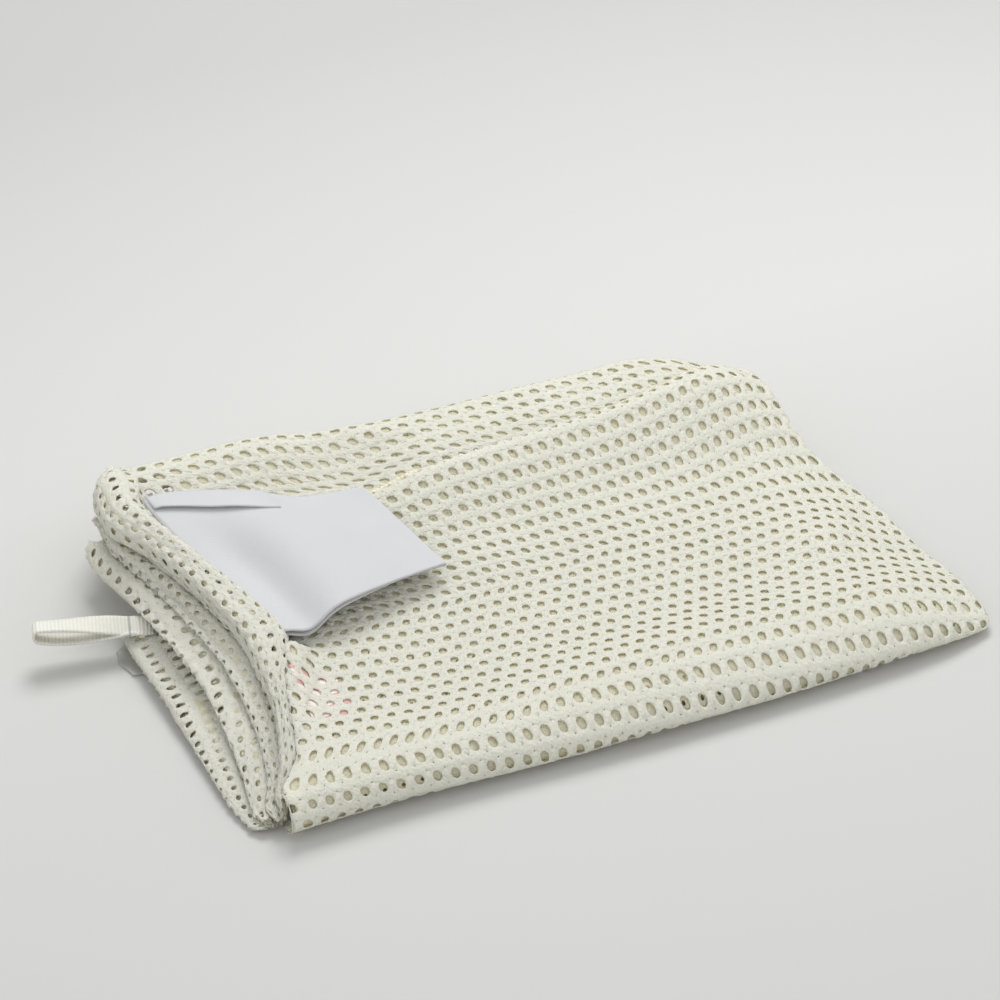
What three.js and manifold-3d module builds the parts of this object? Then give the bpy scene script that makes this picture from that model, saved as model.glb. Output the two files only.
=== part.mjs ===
// Zipped mesh laundry bag, folded in four. Millimetres, +Z up, front edge along X, left end is the mouth.
import * as THREE from "three";
import { mergeVertices } from "three/addons/utils/BufferGeometryUtils.js";
import Module from "manifold-3d";

const wasm = await Module();
wasm.setup();

// Driving dimensions. The folded bag is laid out from its front left corner at the origin.
const panelsPerPair = 4; // each pair of leaves is four panels of mesh
const panelGap = 0.35;
const innerLabelGap = 0.4;
const frontJoint = 2; // y where the leaves meet the front fold
const frontBulge = 6.5; // how far the fold stands in front of the corner
const foldWall = 1.7;
const endRoll = 4.8; // width of the rolled right end
const endGap = 0.9;
const seamRadius = 1.3;
const panelColumns = 14;
const rowsToRidge = 11;
const rowsToBack = 3;
const zipChannel = 7.6; // clear width in the crease for the zip
const zipDrop = 8; // zip plane below the flap's seam line
const zipLength = 58;
const plyThickness = 0.5;
const plyGap = 1.3;
const tapeWidth = 7;
const tapeThickness = 0.9;
const loopReach = 27;
const loopHalf = 3.4;
const loopTurn = THREE.MathUtils.degToRad(-14.6);
const loopPivot = new THREE.Vector3(-12.5, 85.3, 9.4);
const loopRise = THREE.MathUtils.degToRad(5);

// The flap's corners: sewn edge rear and front, then folded edge rear and front.
const sewnRear = new THREE.Vector3(7, 112, 31.5);
const sewnFront = new THREE.Vector3(21.5, 51, 22);
const foldRear = new THREE.Vector3(57.5, 94, 30.5);
const foldFront = new THREE.Vector3(74, 60.5, 20.8);

const cream = 0xf0efe2;
const paleYellow = 0xe9e3c4;
const coolWhite = 0xe6e6ec;

// Smooth curve through a few [position, value] pairs, level past both ends.
function through(pairs) {
  const slope = pairs.map((pair, i) => {
    const before = pairs[Math.max(0, i - 1)];
    const after = pairs[Math.min(pairs.length - 1, i + 1)];
    const rising = (after[1] - pair[1]) * (pair[1] - before[1]) > 0;
    return rising ? (after[1] - before[1]) / (after[0] - before[0]) : 0;
  });
  return (at) => {
    if (at <= pairs[0][0]) return pairs[0][1];
    const i = pairs.findIndex((pair) => at <= pair[0]);
    if (i < 0) return pairs.at(-1)[1];
    const [x0, y0] = pairs[i - 1];
    const [x1, y1] = pairs[i];
    const span = x1 - x0;
    const t = (at - x0) / span;
    const ease = t * t * (3 - 2 * t);
    return y0 + (y1 - y0) * ease + span * (slope[i - 1] * t * (1 - t) ** 2 - slope[i] * t * t * (1 - t));
  };
}

// Plan outline.
const creaseFront = through([[2, 6], [10, 9], [30, 16], [44, 20.3], [51, 21.5]]);
const crease = (y) => {
  const along = (sewnRear.y - y) / (sewnRear.y - sewnFront.y);
  if (y < sewnFront.y) return creaseFront(y);
  return y > sewnRear.y ? sewnRear.x : THREE.MathUtils.lerp(sewnRear.x, sewnFront.x, along);
};
const leavesLeft = (y) => crease(y) + through([[30, 0.4], [46, zipChannel], [118, zipChannel], [126, 2]])(y);
const rightEnd = through([[0, 213.5], [40, 212.5], [62, 209.5], [85, 205], [110, 202], [120, 196], [130, 188]]);
const ridge = through([[8, 113], [40, 102], [70, 96], [130, 98], [160, 101], [182, 107], [205, 111]]);
const back = through([[0, 133], [90, 128], [165, 124], [190, 119], [205, 112]]);

// Heights of the folded stack: its top, and the top of the lower pair of leaves.
const topAtFlap = through([[2, 14], [6, 14.5], [20, 12.2], [35, 11.4], [50, 13], [62, 15.5], [78, 20], [94, 26.5], [104, 28]]);
const topAtMiddle = through([[2, 15], [6, 15.5], [27, 12.5], [45, 14], [60, 16], [74, 19.5], [92, 29], [97, 32]]);
const lowerPair = through([[2, 7.5], [27, 5.2], [50, 6.2], [72, 9.5], [85, 15], [97, 24], [106, 26], [120, 25], [130, 19]]);
const flapToMiddle = through([[60, 0], [95, 1]]);
const endFall = through([[0, 0.42], [8, 0.6], [20, 0.86], [38, 1]]);

function stackTop(x, y) {
  const full = THREE.MathUtils.lerp(topAtFlap(y), topAtMiddle(y), flapToMiddle(x));
  return full * endFall(rightEnd(y) - x);
}

function lowerTop(x, y) {
  return Math.min(lowerPair(y) * endFall(rightEnd(y) - x), stackTop(x, y) - 3.6);
}

const upperBack = (x) => ridge(x) - seamRadius - 0.3;
const lowerBack = (x) => back(x) - 2 * seamRadius - 0.3;

// Moves every vertex of a closed geometry, so the shape stays closed.
function shaped(geometry, place) {
  const position = geometry.attributes.position;
  const v = new THREE.Vector3();
  for (let i = 0; i < position.count; i++) {
    v.fromBufferAttribute(position, i);
    place(v);
    position.setXYZ(i, v.x, v.y, v.z);
  }
  geometry.computeVertexNormals();
  return geometry;
}

function solid(geometry) {
  const g = geometry.clone();
  g.deleteAttribute("normal");
  g.deleteAttribute("uv");
  const merged = mergeVertices(g, 1e-4);
  return new wasm.Manifold(
    new wasm.Mesh({
      numProp: 3,
      vertProperties: merged.attributes.position.array,
      triVerts: new Uint32Array(merged.index.array),
    }),
  );
}

function geometryOf(manifold) {
  const mesh = manifold.getMesh();
  const g = new THREE.BufferGeometry();
  g.setAttribute("position", new THREE.BufferAttribute(mesh.vertProperties, 3));
  g.setIndex(new THREE.BufferAttribute(mesh.triVerts, 1));
  g.computeVertexNormals();
  return g;
}

const clothLook = new THREE.MeshStandardMaterial({ color: cream, roughness: 0.9 });
const seamLook = new THREE.MeshStandardMaterial({ color: paleYellow, roughness: 0.85 });
const wovenLook = new THREE.MeshStandardMaterial({ color: coolWhite, roughness: 0.75 });
const tapeLook = new THREE.MeshStandardMaterial({ color: 0xf2f2ee, roughness: 0.8 });
const plasticLook = new THREE.MeshStandardMaterial({ color: 0xf4f2ea, roughness: 0.4 });
const metalLook = new THREE.MeshStandardMaterial({ color: 0xd8d8d4, roughness: 0.35, metalness: 0.6 });
const labelLook = new THREE.MeshStandardMaterial({ color: 0xdcdcdc, roughness: 0.5 });
const printLook = new THREE.MeshStandardMaterial({ color: 0xe9a9b0, roughness: 0.6 });

const bag = new THREE.Group();

function add(name, geometry, look, parent = bag) {
  const mesh = new THREE.Mesh(geometry, look);
  mesh.name = name;
  parent.add(mesh);
  return mesh;
}

// A box whose under face is cut along the same diagonals as its top face, so that stacked slabs nest.
function slab(columns, rows) {
  const g = new THREE.BoxGeometry(1, 1, 1, columns, rows, 1);
  const under = g.groups[5];
  const index = g.index.array;
  for (let i = under.start; i < under.start + under.count; i += 6) {
    const [a, b, d, , c] = index.slice(i, i + 6);
    index.set([a, b, c, a, c, d], i);
  }
  return g;
}

// One panel of mesh cloth: a slab from the front fold to the ridge, or past it to the back edge.
function panel(name, reachesBack, low, high) {
  const rows = rowsToRidge + (reachesBack ? rowsToBack : 0);
  const g = shaped(slab(panelColumns, rows), (v) => {
    const row = Math.round((v.y + 0.5) * rows);
    const yAt = (x) => {
      if (row <= rowsToRidge) return THREE.MathUtils.lerp(frontJoint, upperBack(x), row / rowsToRidge);
      return THREE.MathUtils.lerp(upperBack(x), lowerBack(x), (row - rowsToRidge) / rowsToBack);
    };
    const firstY = yAt(20 + 185 * (v.x + 0.5));
    const x = THREE.MathUtils.lerp(leavesLeft(firstY), rightEnd(firstY) - endRoll - endGap, v.x + 0.5);
    const y = yAt(x);
    v.set(x, y, THREE.MathUtils.lerp(low(x, y), high(x, y), v.z + 0.5));
  });
  add(name, g, clothLook);
}

function lowerLevel(k) {
  return (x, y) => (lowerTop(x, y) * k) / panelsPerPair;
}

function upperLevel(k) {
  return (x, y) => {
    const base = lowerTop(x, y);
    return base + ((stackTop(x, y) - base) * k) / panelsPerPair;
  };
}

// A gap is kept above and below each panel; the lowest one stands on the surface.
function pairOfLeaves(names, reachesBack, level) {
  names.forEach((name, k) => {
    const lift = reachesBack && k === 0 ? 0 : panelGap / 2;
    const sink = panelGap / 2 + (!reachesBack && k === panelsPerPair - 2 ? innerLabelGap : 0);
    const low = (x, y) => level(k)(x, y) + lift;
    const high = (x, y) => level(k + 1)(x, y) - sink;
    panel(name, reachesBack, low, high);
  });
}

pairOfLeaves(
  ["bottom_leaf_outer_panel", "bottom_leaf_inner_panel", "third_leaf_inner_panel", "third_leaf_outer_panel"],
  true,
  lowerLevel,
);
pairOfLeaves(
  ["second_leaf_outer_panel", "second_leaf_inner_panel", "top_leaf_inner_panel", "top_leaf_outer_panel"],
  false,
  upperLevel,
);

// Front fold: nested shells where the panels turn over the front edge.
function frontFold(name, inset) {
  const g = new THREE.BoxGeometry(1, 1, 1, 16, 7, 1);
  shaped(g, (v) => {
    const reach = frontBulge + frontJoint - 0.3 - inset - (0.5 - v.z) * foldWall;
    const x = THREE.MathUtils.lerp(leavesLeft(frontJoint), rightEnd(0) - endRoll - endGap, v.x + 0.5);
    const half = stackTop(x, frontJoint) / 2;
    const rise = half - inset - (0.5 - v.z) * foldWall;
    const angle = v.y * Math.PI;
    v.set(x, frontJoint - 0.3 - reach * Math.cos(angle), half + rise * Math.sin(angle));
  });
  add(name, g, clothLook);
}

frontFold("front_fold_outer_panel", 0);
frontFold("front_fold_inner_panel", foldWall + panelGap);

// A soft roll along Y inside the box that its four edge curves give at each y.
function roll(name, from, to, edges, look = clothLook, steps = 12) {
  const g = new THREE.CylinderGeometry(1, 1, 1, 12, steps);
  const plump = (s) => Math.sign(s) * Math.abs(s) ** 0.7;
  shaped(g, (v) => {
    const y = THREE.MathUtils.lerp(from, to, v.y + 0.5);
    const left = edges.left(y);
    const right = edges.right(y);
    const low = edges.low(y);
    const high = edges.high(y);
    v.set((left + right) / 2 + (plump(v.x) * (right - left)) / 2, y, (low + high) / 2 + (plump(v.z) * (high - low)) / 2);
  });
  add(name, g, look);
}

// Right end: the panels turn back in two rolls, one for each pair of leaves.
const endJoint = (y) => rightEnd(y) - endRoll;
roll("right_fold_lower", 1, 106, {
  left: endJoint,
  right: rightEnd,
  low: () => 0.2,
  high: (y) => lowerTop(endJoint(y), y) - 0.2,
});
roll("right_fold_upper", 1, 100, {
  left: endJoint,
  right: (y) => rightEnd(y) - 0.6,
  low: (y) => lowerTop(endJoint(y), y) + 0.2,
  high: (y) => stackTop(endJoint(y), y),
});

// Left end: the folded mouth lies in four rolls that run together at the front corner.
const rollTop = through([[3, 9.5], [10, 12.5], [28, 18], [50, 24], [75, 28.5], [95, 31.5], [112, 33], [127, 30]]);
const rollUnder = through([[3, 6.2], [10, 8], [28, 11.5], [50, 15.5], [75, 18], [95, 19.8], [112, 20.5]]);
const bandUnder = through([[3, 4.6], [10, 6], [28, 8.8], [50, 12], [75, 15], [95, 16.5], [112, 17]]);
const hollowTop = through([[3, 3], [10, 3.8], [28, 5.8], [50, 7.6], [70, 10.8], [97, 10.8], [112, 8.5]]);
const hollowFloor = through([[3, 2.6], [10, 3.3], [28, 5], [50, 6.4], [90, 7.6]]);
const besideCrease = (y) => crease(y) - 0.3;
roll("mouth_roll_top", 3, 127, {
  left: through([[3, 1], [10, 5], [28, 10.5], [50, 9.5], [75, 5], [95, -1.5], [112, -9], [127, -7]]),
  right: besideCrease,
  low: (y) => rollUnder(y) + 0.2,
  high: rollTop,
});
roll("mouth_band", 3, 120, {
  left: through([[3, -2], [10, 0.5], [28, 4], [50, 3.5], [75, 0], [95, -4.5], [112, -9]]),
  right: besideCrease,
  low: (y) => bandUnder(y) + 0.2,
  high: (y) => rollUnder(y) - 0.2,
});
roll("mouth_roll_middle", 3, 118, {
  left: through([[3, -4.3], [19, -3.6], [46, -3.5], [73, -6.4], [92, -10], [115, -14]]),
  right: besideCrease,
  low: (y) => hollowTop(y) + 0.1,
  high: (y) => bandUnder(y) - 0.2,
});
roll("mouth_roll_bottom", 3, 90, {
  left: through([[3, -6], [11, -9.3], [34, -11.5], [60, -13], [90, -14]]),
  right: besideCrease,
  low: () => 0.9,
  high: (y) => hollowFloor(y) - 0.1,
});

// Overlocked side seams: one along the ridge, one down at the back edge.
function seam(name, points) {
  const section = new THREE.Shape().absarc(0, 0, seamRadius, 0, 2 * Math.PI);
  const path = new THREE.CatmullRomCurve3(points);
  const g = new THREE.ExtrudeGeometry(section, { curveSegments: 4, steps: 20, bevelEnabled: false, extrudePath: path });
  add(name, g, seamLook);
}

const seamStops = [22, 50, 80, 110, 140, 165, 182, 190];
seam(
  "side_seam_upper",
  seamStops.map((x) => new THREE.Vector3(x, ridge(x), lowerTop(x, ridge(x)) + seamRadius + 0.6)),
);
seam(
  "side_seam_lower",
  seamStops.map((x) => new THREE.Vector3(x, back(x) - seamRadius, lowerTop(x, back(x)) / 2)),
);

// Zip in the crease: a group whose X runs forward along the chain and whose Z is up.
const zip = new THREE.Group();
const alongSeam = sewnFront.clone().sub(sewnRear).normalize();
const acrossSeam = new THREE.Vector3(-alongSeam.y, alongSeam.x, 0).normalize();
const zipUp = new THREE.Vector3().crossVectors(acrossSeam, alongSeam).negate();
const zipSide = new THREE.Vector3().crossVectors(zipUp, alongSeam);
zip.applyMatrix4(new THREE.Matrix4().makeBasis(alongSeam, zipSide, zipUp));
zip.position
  .copy(sewnRear)
  .addScaledVector(acrossSeam, zipChannel / 2)
  .addScaledVector(alongSeam, 2)
  .add(new THREE.Vector3(0, 0, -zipDrop));
bag.add(zip);

const coilInner = 0.55;
const coilWidth = 1.2;
const coilHeight = 1.4;
const tapeEdge = 3.1;
const tapeLeg = 5;
const zipTape = 0.5;

function block(length, width, height, x, y, z) {
  return new THREE.BoxGeometry(length, width, height).translate(x, y, z);
}

for (const [side, sign] of [["left", 1], ["right", -1]]) {
  const tapeInner = coilInner + coilWidth + 0.3;
  const flat = block(zipLength, tapeEdge - tapeInner, zipTape, zipLength / 2, (sign * (tapeEdge + tapeInner)) / 2, 0);
  const leg = block(zipLength, zipTape, tapeLeg, zipLength / 2, sign * (tapeEdge - zipTape / 2), -tapeLeg / 2);
  add("zip_tape_" + side, geometryOf(solid(flat).add(solid(leg))), tapeLook, zip);
  const coilY = sign * (coilInner + coilWidth / 2);
  add("zip_coil_" + side, block(zipLength, coilWidth, coilHeight, zipLength / 2, coilY, 0), plasticLook, zip);
  add("zip_top_stop_" + side, block(2, coilWidth, coilHeight + 0.6, -1.4, coilY, 0), metalLook, zip);
}
add("zip_bottom_stop", block(3, 3.4, 2, zipLength + 1.9, 0, 0), metalLook, zip);

// Slider: two plates round the chain, held together by a post between the rows, with an arch for the tab.
const sliderAt = 6.5;
const plateLength = 8;
const plateWidth = 4.6;
const plateZ = 1.45;
const plateThickness = 0.8;
const archTop = 3.4;
const slider = new THREE.Group();
slider.position.x = sliderAt;
zip.add(slider);
const plates = [1, -1].map((sign) => block(plateLength, plateWidth, plateThickness, 0, 0, sign * plateZ));
const post = block(2.4, 0.5, 2 * plateZ, -2.4, 0, 0);
const archTopBar = block(4.6, 1.2, 0.6, 0, 0, archTop - 0.3);
const archLegs = [-1.95, 1.95].map((x) => block(0.7, 1.2, archTop - plateZ, x, 0, (archTop + plateZ) / 2));
const sliderSolid = [post, archTopBar, ...archLegs].reduce(
  (sum, piece) => sum.add(solid(piece)),
  solid(plates[0]).add(solid(plates[1])),
);
add("zip_slider", geometryOf(sliderSolid), metalLook, slider);

// Pull tab: a plate with a window, whose end bar passes under the arch.
const tabLength = 13;
const tabWidth = 4.6;
const tabBar = 0.7;
const tabAxisZ = 2.3;
const tabPlate = block(tabLength, tabWidth, tabBar, tabLength / 2 - tabBar / 2, 0, tabAxisZ);
const tabWindow = block(2.9, 2.4, 2, tabBar / 2 + 1.45, 0, tabAxisZ);
add("zip_pull_tab", geometryOf(solid(tabPlate).subtract(solid(tabWindow))), metalLook, slider);

// Flap: one woven cloth doubled at its outer edge, crowned a little, over the zip.
function flapPoint(along, across) {
  const sewn = sewnRear.clone().lerp(sewnFront, along);
  const fold = foldRear.clone().lerp(foldFront, along);
  const point = sewn.lerp(fold, across);
  point.z += 2.2 * Math.sin(Math.PI * across) * (0.5 + 0.5 * Math.sin(Math.PI * along));
  return point;
}

function flapPly(name, drop) {
  const g = new THREE.BoxGeometry(1, 1, 1, 9, 7, 1);
  shaped(g, (v) => {
    const across = 0.015 + 0.97 * (v.x + 0.5);
    const along = 0.5 - v.y;
    const point = flapPoint(along, across);
    point.z -= drop * (1 - 0.7 * across) - v.z * plyThickness;
    v.copy(point);
  });
  add(name, g, wovenLook);
}

flapPly("cover_flap_upper_ply", 0);
flapPly("cover_flap_lower_ply", plyGap + plyThickness);

const foldSection = new THREE.Shape().absarc(0, 0, 0.7, 0, 2 * Math.PI);
const foldPath = new THREE.LineCurve3(flapPoint(0.01, 1.004), flapPoint(0.99, 1.004));
const foldOptions = { curveSegments: 4, steps: 1, bevelEnabled: false, extrudePath: foldPath };
const foldEdge = new THREE.ExtrudeGeometry(foldSection, foldOptions).translate(0, 0, -0.45);
add("cover_flap_folded_edge", foldEdge, wovenLook);

// The flap's seam allowance, turned down into the crease beside the zip.
const allowance = new THREE.BoxGeometry(1, 1, 1, 1, 1, 1);
shaped(allowance, (v) => {
  const at = sewnRear.clone().lerp(sewnFront, 0.5 - v.y);
  v.set(at.x + 0.6 + v.x * 0.5, at.y, at.z - plyGap - 2.6 + v.z * 2.4);
});
add("cover_flap_seam_allowance", allowance, wovenLook);

// Hanging loop: a doubled tape that comes out of the hollow between the lower rolls.
const loop = new THREE.Group();
loop.position.copy(loopPivot);
loop.rotation.z = loopTurn;
bag.add(loop);

// A prism whose outline is a teardrop lying along -X.
function teardrop(root, reach, half, width) {
  const nose = -reach + half * 0.55;
  const rise = 1;
  const shape = new THREE.Shape();
  shape.moveTo(-root, -half * 0.12);
  shape.bezierCurveTo(-reach * 0.35, -half * 0.95, -reach * 0.72, -half * 1.15, nose, -half * 0.75 + rise);
  shape.bezierCurveTo(-reach, -half * 0.35 + rise, -reach, half * 0.35 + rise, nose, half * 0.75 + rise);
  shape.bezierCurveTo(-reach * 0.72, half * 1.15, -reach * 0.35, half * 0.95, -root, half * 0.12);
  const g = new THREE.ExtrudeGeometry(shape, { depth: width, curveSegments: 7, bevelEnabled: false });
  return solid(g.translate(0, 0, -width / 2).rotateX(Math.PI / 2).rotateY(loopRise));
}

const loopOutside = teardrop(0.3, loopReach, loopHalf, tapeWidth);
const loopEye = teardrop(5.5, loopReach - tapeThickness, loopHalf - tapeThickness, tapeWidth + 2);
add("hang_loop", geometryOf(loopOutside.subtract(loopEye)), tapeLook, loop);
add("hang_loop_root", block(6, tapeWidth, 1.7, 3.4, 0, 0), tapeLook, loop);
add("hang_loop_bartack", block(1.6, tapeWidth - 1, 0.4, 3.2, 0, -1.4), seamLook, loop);

// Labels: one on the surface under the lowest roll, one between the upper panels near the zip.
const careLabel = new THREE.Group();
careLabel.position.set(-11, 82.5, 0);
careLabel.rotation.z = THREE.MathUtils.degToRad(12);
bag.add(careLabel);
add("care_label", block(11.5, 13, 0.35, 0, 0, 0.25), labelLook, careLabel);

const innerLabel = new THREE.BoxGeometry(1, 1, 1, 4, 4, 1);
shaped(innerLabel, (v) => {
  const x = 34 + 12 * v.x;
  const y = 36 + 20 * v.y;
  const panelUnder = upperLevel(panelsPerPair - 1)(x, y);
  v.set(x, y, panelUnder - innerLabelGap / 2 + 0.2 * v.z);
});
add("inner_label", innerLabel, printLook);

// The part's own origin is under the middle of its outline.
const outline = new THREE.Box3().setFromObject(bag, true);
const middle = outline.getCenter(new THREE.Vector3());
bag.position.set(-middle.x, -middle.y, -outline.min.z);

export default bag;
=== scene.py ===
import math

import bpy
import numpy as np
from mathutils import Matrix, Vector


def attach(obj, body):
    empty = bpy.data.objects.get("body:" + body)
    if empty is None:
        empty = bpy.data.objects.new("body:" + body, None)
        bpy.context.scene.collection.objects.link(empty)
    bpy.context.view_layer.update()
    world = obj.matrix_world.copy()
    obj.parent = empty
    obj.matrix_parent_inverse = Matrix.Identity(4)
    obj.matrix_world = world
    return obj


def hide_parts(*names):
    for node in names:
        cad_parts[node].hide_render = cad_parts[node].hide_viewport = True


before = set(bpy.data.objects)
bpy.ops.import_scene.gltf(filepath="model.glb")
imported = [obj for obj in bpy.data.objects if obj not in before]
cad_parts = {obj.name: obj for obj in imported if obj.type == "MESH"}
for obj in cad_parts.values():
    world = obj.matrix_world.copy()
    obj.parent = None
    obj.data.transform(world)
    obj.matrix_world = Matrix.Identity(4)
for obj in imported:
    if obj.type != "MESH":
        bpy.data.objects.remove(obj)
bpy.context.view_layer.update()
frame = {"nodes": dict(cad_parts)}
print("parts loaded")

# Everything below is laid out in millimetres from the folded bag's front left corner.
corner = (-87.309, -63.087, 0.0)


def metres(points):
    return (np.asarray(points, float) + np.array(corner)) / 1000


def through(pairs):
    # smooth curve through [position, value] pairs, level past both ends
    at = np.array([p[0] for p in pairs], float)
    value = np.array([p[1] for p in pairs], float)
    slope = np.zeros(len(pairs))
    for i in range(1, len(pairs) - 1):
        if (value[i + 1] - value[i]) * (value[i] - value[i - 1]) > 0:
            slope[i] = (value[i + 1] - value[i - 1]) / (at[i + 1] - at[i - 1])

    def curve(x):
        x = np.clip(np.asarray(x, float), at[0], at[-1])
        i = np.clip(np.searchsorted(at, x, side="left"), 1, len(at) - 1)
        span = at[i] - at[i - 1]
        t = (x - at[i - 1]) / span
        ease = t * t * (3 - 2 * t)
        bend = slope[i - 1] * t * (1 - t) ** 2 - slope[i] * t * t * (1 - t)
        return value[i - 1] + (value[i] - value[i - 1]) * ease + span * bend

    return curve


def mix(a, b, t):
    return a + (b - a) * t


def smooth(t):
    t = np.clip(t, 0, 1)
    return t * t * (3 - 2 * t)


def unit(v):
    return v / np.maximum(np.linalg.norm(v, axis=-1, keepdims=True), 1e-12)


# The folded bag's outline and heights, close to the curves of the solid parts.
outline = {
    "sewnRear": (7, 112, 31.5),
    "sewnFront": (21.5, 51, 22),
    "foldRear": (62.5, 91.8, 30.5),
    "foldFront": (74, 60.5, 20.8),
    "zipChannel": 7.6,
}
sewnRear, sewnFront = np.array(outline["sewnRear"], float), np.array(outline["sewnFront"], float)
foldRear, foldFront = np.array(outline["foldRear"], float), np.array(outline["foldFront"], float)
creaseFront = through([(-2, 2.2), (2, 3.8), (10, 8), (30, 13.8), (44, 19.2), (51, 21.5)])
channel = through([(50, 0.4), (57, outline["zipChannel"]), (118, outline["zipChannel"]), (126, 2)])
rightEnd = through(
    [
        (0, 213.5), (40, 212.5), (50, 211.5), (65, 206), (75, 202.5),
        (98, 199.5), (108, 197.5), (122, 188), (130, 182),
    ]
)
ridge = through([(8, 113), (40, 102), (70, 97), (130, 99), (160, 102), (182, 107), (205, 111)])
back = through(
    [
        (0, 141.5), (16, 141), (40, 139.5), (64, 133.5), (89, 130.5),
        (140, 128.5), (168, 128), (190, 120), (205, 109),
    ]
)
topAtFlap = through(
    [
        (2, 14), (6, 14.5), (20, 12.2), (35, 11.4), (50, 13),
        (62, 15.5), (78, 19.5), (94, 25), (104, 26.5),
    ]
)
topAtMiddle = through([(2, 15), (6, 15.5), (27, 12.5), (45, 14), (60, 16), (74, 20), (92, 30.5), (97, 33)])
lowerPair = through(
    [
        (2, 7.5), (27, 5.2), (50, 6.2), (72, 9.5), (85, 16),
        (97, 26), (106, 29), (118, 30), (128, 29.5), (138, 28),
    ]
)
flapToMiddle = through([(60, 0), (95, 1)])
frontEndFall = through([(0, 0.42), (8, 0.6), (20, 0.86), (38, 1)])
rearEndFall = through([(0, 0.66), (5, 0.81), (12, 0.93), (26, 1)])
rearSwell = through([(20, 0), (45, 1.2), (62, 0)])
frontSpread = through([(0, 1.5), (30, 2.6), (60, 6.2), (90, 9.6), (160, 13.4), (195, 12.4), (214, 9)])
rollTop = through(
    [
        (3, 9.5), (10, 12.5), (28, 18), (50, 24), (75, 28.5),
        (95, 31.5), (112, 33), (127, 32.5), (137, 28),
    ]
)


def crease(y):
    along = (sewnRear[1] - y) / (sewnRear[1] - sewnFront[1])
    middle = mix(sewnRear[0], sewnFront[0], along)
    return np.where(y < sewnFront[1], creaseFront(y), np.where(y > sewnRear[1], sewnRear[0], middle))


def leavesLeft(y):
    return crease(y) + channel(y)


def endFall(x, y):
    inside = rightEnd(y) - x
    return mix(frontEndFall(inside), rearEndFall(inside), smooth((y - 45) / 40))


def stackTop(x, y):
    # the cloth curls up against the mouth's roll in front of the flap
    full = mix(topAtFlap(y), topAtMiddle(y), flapToMiddle(x)) * endFall(x, y)
    curl = np.maximum(rollTop(y) - 1.4 - full, 0) * (1 - smooth((y - 47) / 6))
    return full + curl * (1 - smooth((x - crease(y)) / 12)) ** 1.6


def lowerTop(x, y):
    # behind the ridge only the lower pair is left, and it bulges up next to the flap
    under = stackTop(x, y) - 3.6 + 6.5 * smooth((y - 108) / 20)
    return np.minimum(lowerPair(y) * endFall(x, y), under) + rearSwell(x) * smooth((y - 112) / 18)


def ripples(x, y):
    # gentle waves of the laid cloth, in millimetres
    wave = 0.55 * np.sin(x / 17 + y / 31) * np.sin(y / 13 + 1.3)
    wave += 0.4 * np.sin(x / 9.5 - y / 21 + 0.6) * np.sin(y / 19 + x / 60)
    lump = 3.2 * np.exp(-(((x - 183) / 13) ** 2) - (((y - 33 - 0.5 * (x - 183)) / 10) ** 2))
    tuck = 1.5 * np.exp(-(((x - 88) / 12) ** 2) - (((y - 62) / 9) ** 2))
    return wave + lump + tuck


def attachUv(mesh, grid, name="flat"):
    loops = np.zeros(len(mesh.loops), int)
    mesh.loops.foreach_get("vertex_index", loops)
    layer = mesh.uv_layers.new(name=name)
    layer.data.foreach_set("uv", grid.reshape(-1, 2)[loops].astype(np.float32).ravel())


def facing(points):
    along = np.gradient(points, axis=1)
    across = np.gradient(points, axis=0)
    return unit(np.cross(along, across))


def gridMesh(name, points, flat):
    # points is rows by columns by 3 in millimetres, flat the same cloth laid out, in metres
    rows, columns = points.shape[:2]
    number = np.arange(rows * columns).reshape(rows, columns)
    faces = np.stack([number[:-1, :-1], number[:-1, 1:], number[1:, 1:], number[1:, :-1]], -1).reshape(-1, 4)
    mesh = bpy.data.meshes.new(name)
    mesh.from_pydata(metres(points).reshape(-1, 3).tolist(), [], faces.tolist())
    attachUv(mesh, flat)
    outward = mesh.attributes.new("outward", "FLOAT_VECTOR", "POINT")
    outward.data.foreach_set("vector", facing(points).astype(np.float32).ravel())
    for p in mesh.polygons:
        p.use_smooth = True
    obj = bpy.data.objects.new(name, mesh)
    bpy.context.scene.collection.objects.link(obj)
    return obj


def laidOut(points):
    # each point's place in the flat cloth, from the mean arc lengths, in metres
    stepX = np.linalg.norm(np.diff(points, axis=1), axis=-1).mean(0)
    stepY = np.linalg.norm(np.diff(points, axis=0), axis=-1).mean(1)
    u = np.concatenate([[0], np.cumsum(stepX)]) / 1000
    v = np.concatenate([[0], np.cumsum(stepY)]) / 1000
    return np.stack(np.meshgrid(u, v), -1)


# materials
def colourOf(text):
    value = [int(text[i : i + 2], 16) / 255 for i in (0, 2, 4)]
    return tuple(c / 12.92 if c <= 0.04045 else ((c + 0.055) / 1.055) ** 2.4 for c in value) + (1.0,)


def socketNamed(sockets, name):
    return next(s for s in sockets if s.name == name and s.enabled)


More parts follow.
